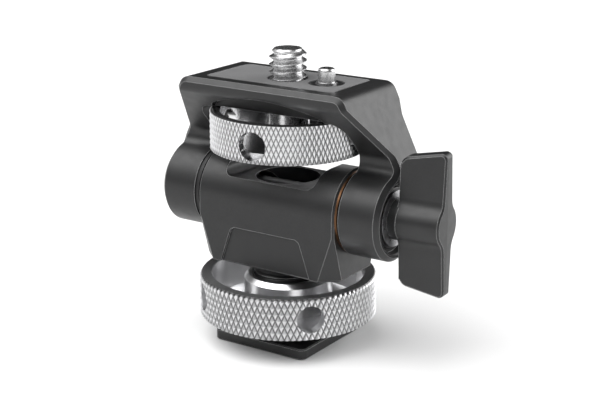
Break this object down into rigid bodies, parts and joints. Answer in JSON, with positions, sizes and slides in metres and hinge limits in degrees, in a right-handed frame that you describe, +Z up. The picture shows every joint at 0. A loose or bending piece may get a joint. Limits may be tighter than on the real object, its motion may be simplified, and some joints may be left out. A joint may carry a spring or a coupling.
{
  "type": "swivel and tilt monitor mount",
  "caption": "Small swivel-and-tilt screw mount: square shoe foot with clamp ring, faceted base block, yoke with captive screw, thumb wheel and wing knob.",
  "frame": {"origin": "centre of the shoe foot's underside, which is the face that lies in the shoe", "axes": "+Z up along the stem and the swivel axis, +X along the tilt axle towards the wing knob, -Y towards the front of the block"},
  "size_m": [0.0526, 0.0308, 0.0507],
  "materials": {
    "black_anodised": "satin",
    "black_oxide_steel": "satin",
    "bright_aluminium": "knurled",
    "bright_steel": "polished",
    "zinc_steel": "satin",
    "grip_rubber": "matte",
    "black_polymer": "matte",
    "bronze": "satin",
    "spring_steel": "satin"
  },
  "bodies": {
    "base": {"shoe_foot": "black_anodised", "threaded_stem": "black_anodised", "foot_screws": "black_oxide_steel", "swivel_screw": "black_oxide_steel", "swivel_friction_washer": "black_polymer", "swivel_spring_washer": "spring_steel"},
    "clamp_washer": {"clamp_friction_ring": "black_polymer"},
    "clamp_ring": {"clamp_ring": "bright_aluminium"},
    "block": {"base_block": "black_anodised", "swivel_bush": "bronze", "swivel_thrust_washer": "zinc_steel", "barrel_bush_left": "bronze", "barrel_bush_right": "bronze", "right_friction_washer": "bronze"},
    "yoke": {"top_yoke": "black_anodised", "grip_pad": "grip_rubber", "tilt_axle": "zinc_steel", "left_friction_washer": "black_polymer", "right_steel_washer": "black_oxide_steel", "ear_sleeve": "black_anodised", "pin_bush": "black_anodised", "pin_plug": "zinc_steel", "pin_spring": "spring_steel"},
    "thumb_wheel": {"thumb_wheel": "bright_aluminium", "mounting_screw": "bright_steel", "wheel_lock_screw": "black_oxide_steel", "screw_clip": "spring_steel"},
    "locating_pin": {"locating_pin": "bright_steel"},
    "knob_washer": {"knob_thrust_washer": "zinc_steel"},
    "wing_knob": {"wing_knob": "black_anodised", "knob_insert": "zinc_steel"}
  },
  "joints": [
    {"name": "swivel", "type": "hinge", "parent": "base", "child": "block", "pos_m": [0, 0, 0.0136], "axis": [0, 0, 1], "continuous": true},
    {"name": "tilt", "type": "hinge", "parent": "block", "child": "yoke", "pos_m": [0, 0, 0.02483], "axis": [1, 0, 0], "range_deg": [-88, 88]},
    {"name": "wheel_turn", "type": "hinge", "parent": "yoke", "child": "thumb_wheel", "pos_m": [0, 0, 0.037], "axis": [0, 0, 1], "continuous": true},
    {"name": "pin_press", "type": "slide", "parent": "yoke", "child": "locating_pin", "axis": [0, 0, -1], "range_m": [0, 0.0025], "stiffness_N_per_m": 400, "springref_m": -0.0005, "deforming": ["pin_spring"]},
    {"name": "clamp_travel", "type": "slide", "parent": "base", "child": "clamp_washer", "axis": [0, 0, 1], "range_m": [-0.00221, 0]},
    {"name": "clamp_turn", "type": "hinge", "parent": "clamp_washer", "child": "clamp_ring", "pos_m": [0, 0, 0.008], "axis": [0, 0, 1], "range_deg": [-792, 0]},
    {"name": "knob_travel", "type": "slide", "parent": "yoke", "child": "knob_washer", "axis": [1, 0, 0], "range_m": [0, 0.00142]},
    {"name": "knob_turn", "type": "hinge", "parent": "knob_washer", "child": "wing_knob", "pos_m": [0.026, 0, 0.02483], "axis": [1, 0, 0], "range_deg": [0, 720]}
  ],
  "couplings": [
    {"joint": "clamp_travel", "follows": "clamp_turn", "m_per_rad": 0.00015915},
    {"joint": "knob_travel", "follows": "knob_turn", "m_per_rad": 0.00011141}
  ]
}
